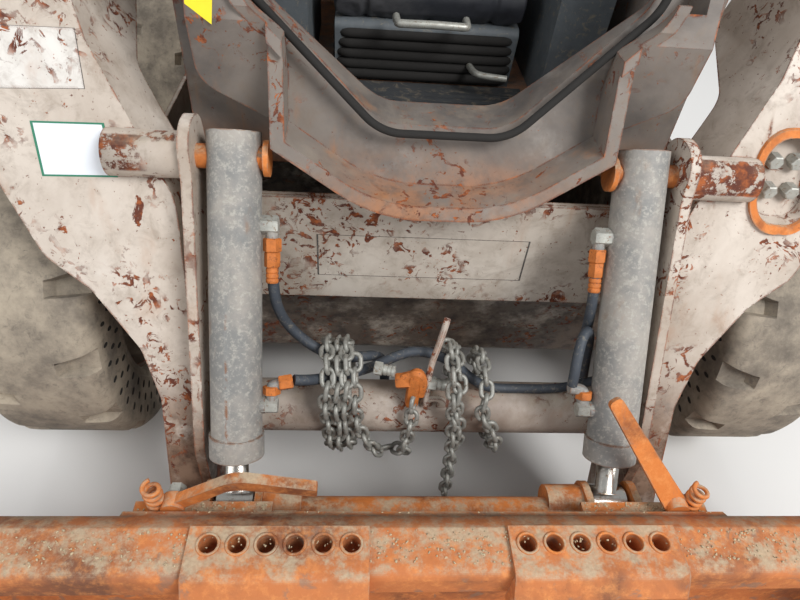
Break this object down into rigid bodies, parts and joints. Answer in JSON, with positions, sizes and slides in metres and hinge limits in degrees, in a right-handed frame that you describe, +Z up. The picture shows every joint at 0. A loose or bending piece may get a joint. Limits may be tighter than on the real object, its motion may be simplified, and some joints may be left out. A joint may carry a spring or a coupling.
{
  "type": "skid steer loader",
  "caption": "Worn skid steer loader on rubber tyres, with radial lift arms, tilt cylinders, a quick coupler, a wide bucket and an open-front cab that tips back.",
  "frame": {"origin": "on the ground, under the middle of the overall box", "axes": "front faces -Y, +X is the driver's left, +Z up"},
  "size_m": [1.98, 3.4499, 2.065],
  "materials": {
    "cream_paint": "worn, chipped and rusty",
    "charcoal_paint": "worn satin",
    "rusty_steel": "rusty orange paint",
    "cylinder_grey": "worn satin grey",
    "rod_chrome": "polished",
    "tyre": "dusty",
    "rim_paint": "dusty",
    "engine_iron": "oily",
    "glass": "clear",
    "seat_vinyl": "soft vinyl",
    "grey_plastic": "matte"
  },
  "bodies": {
    "chassis": {"main_frame": "cream_paint", "front_panel": "cream_paint", "axle_tubes": "cream_paint", "engine_block": "engine_iron", "hood_grille": "cream_paint"},
    "cab": {"cab_frame": "charcoal_paint", "cab_roof": "charcoal_paint", "side_screens": "charcoal_paint", "rear_window": "glass", "seat_base": "grey_plastic", "seat_cushion": "seat_vinyl", "seat_back": "seat_vinyl", "consoles": "grey_plastic", "joysticks": "grey_plastic"},
    "seat_bar": {"seat_bar": "charcoal_paint"},
    "tailgate": {"tailgate": "cream_paint"},
    "lift_arms": {"lift_arm_left": "cream_paint", "lift_arm_right": "cream_paint", "arm_cross_tube": "cream_paint", "tilt_top_pins": "rusty_steel"},
    "coupler": {"coupler_frame": "rusty_steel", "coupler_lever_left": "rusty_steel", "coupler_lever_right": "rusty_steel", "bucket": "rusty_steel", "beam_brackets": "rusty_steel"},
    "wheel_front_left": {"tyre_front_left": "tyre", "rim_front_left": "rim_paint"},
    "wheel_front_right": {"tyre_front_right": "tyre", "rim_front_right": "rim_paint"},
    "wheel_rear_left": {"tyre_rear_left": "tyre", "rim_rear_left": "rim_paint"},
    "wheel_rear_right": {"tyre_rear_right": "tyre", "rim_rear_right": "rim_paint"},
    "tilt_barrel_left": {"tilt_barrel_left": "cylinder_grey"},
    "tilt_rod_left": {"tilt_rod_left": "rod_chrome"},
    "lift_barrel_left": {"lift_barrel_left": "cylinder_grey"},
    "lift_rod_left": {"lift_rod_left": "rod_chrome"},
    "tilt_barrel_right": {"tilt_barrel_right": "cylinder_grey"},
    "tilt_rod_right": {"tilt_rod_right": "rod_chrome"},
    "lift_barrel_right": {"lift_barrel_right": "cylinder_grey"},
    "lift_rod_right": {"lift_rod_right": "rod_chrome"}
  },
  "joints": [
    {"name": "lift", "type": "hinge", "parent": "chassis", "child": "lift_arms", "pos_m": [0, 1.175, 1.5], "axis": [-1, 0, 0], "range_deg": [0, 70]},
    {"name": "tilt", "type": "hinge", "parent": "lift_arms", "child": "coupler", "pos_m": [0, -0.845, 0.165], "axis": [1, 0, 0], "range_deg": [-8, 112]},
    {"name": "cab_tilt", "type": "hinge", "parent": "chassis", "child": "cab", "pos_m": [0, 0.685, 1.29], "axis": [-1, 0, 0], "range_deg": [0, 30]},
    {"name": "seat_bar_swing", "type": "hinge", "parent": "cab", "child": "seat_bar", "pos_m": [0, 0.574, 1.64], "axis": [1, 0, 0], "range_deg": [0, 55]},
    {"name": "tailgate_swing", "type": "hinge", "parent": "chassis", "child": "tailgate", "pos_m": [0.536, 1.662, 0.8], "axis": [0, 0, -1], "range_deg": [0, 95]},
    {"name": "wheel_front_left_spin", "type": "hinge", "parent": "chassis", "child": "wheel_front_left", "pos_m": [0.8425, -0.235, 0.415], "axis": [1, 0, 0], "continuous": true},
    {"name": "wheel_front_right_spin", "type": "hinge", "parent": "chassis", "child": "wheel_front_right", "pos_m": [-0.8425, -0.235, 0.415], "axis": [1, 0, 0], "continuous": true},
    {"name": "wheel_rear_left_spin", "type": "hinge", "parent": "chassis", "child": "wheel_rear_left", "pos_m": [0.8425, 0.913, 0.415], "axis": [1, 0, 0], "continuous": true},
    {"name": "wheel_rear_right_spin", "type": "hinge", "parent": "chassis", "child": "wheel_rear_right", "pos_m": [-0.8425, 0.913, 0.415], "axis": [1, 0, 0], "continuous": true},
    {"name": "tilt_barrel_left_swing", "type": "hinge", "parent": "lift_arms", "child": "tilt_barrel_left", "pos_m": [0.38, -0.513, 0.962], "axis": [1, 0, 0], "range_deg": [-0.25, 3.54]},
    {"name": "tilt_rod_left_slide", "type": "slide", "parent": "tilt_barrel_left", "child": "tilt_rod_left", "axis": [0, -0.5506, -0.8348], "range_m": [-0.0275, 0.3842]},
    {"name": "lift_barrel_left_swing", "type": "hinge", "parent": "chassis", "child": "lift_barrel_left", "pos_m": [0.652, 1.4, 0.78], "axis": [-1, 0, 0], "range_deg": [0, 28.81]},
    {"name": "lift_rod_left_slide", "type": "slide", "parent": "lift_barrel_left", "child": "lift_rod_left", "axis": [0, -0.8074, 0.59], "range_m": [-0.0001, 0.3476]},
    {"name": "tilt_barrel_right_swing", "type": "hinge", "parent": "lift_arms", "child": "tilt_barrel_right", "pos_m": [-0.38, -0.513, 0.962], "axis": [1, 0, 0], "range_deg": [-0.25, 3.54]},
    {"name": "tilt_rod_right_slide", "type": "slide", "parent": "tilt_barrel_right", "child": "tilt_rod_right", "axis": [0, -0.5506, -0.8348], "range_m": [-0.0275, 0.3842]},
    {"name": "lift_barrel_right_swing", "type": "hinge", "parent": "chassis", "child": "lift_barrel_right", "pos_m": [-0.652, 1.4, 0.78], "axis": [-1, 0, 0], "range_deg": [0, 28.81]},
    {"name": "lift_rod_right_slide", "type": "slide", "parent": "lift_barrel_right", "child": "lift_rod_right", "axis": [0, -0.8074, 0.59], "range_m": [-0.0001, 0.3476]}
  ],
  "couplings": [
    {"joint": "tilt_barrel_left_swing", "follows": "tilt", "ratio": 0.031631},
    {"joint": "tilt_rod_left_slide", "follows": "tilt", "m_per_rad": 0.19649},
    {"joint": "lift_barrel_left_swing", "follows": "lift", "ratio": 0.41159},
    {"joint": "lift_rod_left_slide", "follows": "lift", "m_per_rad": 0.28445},
    {"joint": "tilt_barrel_right_swing", "follows": "tilt", "ratio": 0.031631},
    {"joint": "tilt_rod_right_slide", "follows": "tilt", "m_per_rad": 0.19649},
    {"joint": "lift_barrel_right_swing", "follows": "lift", "ratio": 0.41159},
    {"joint": "lift_rod_right_slide", "follows": "lift", "m_per_rad": 0.28445}
  ]
}
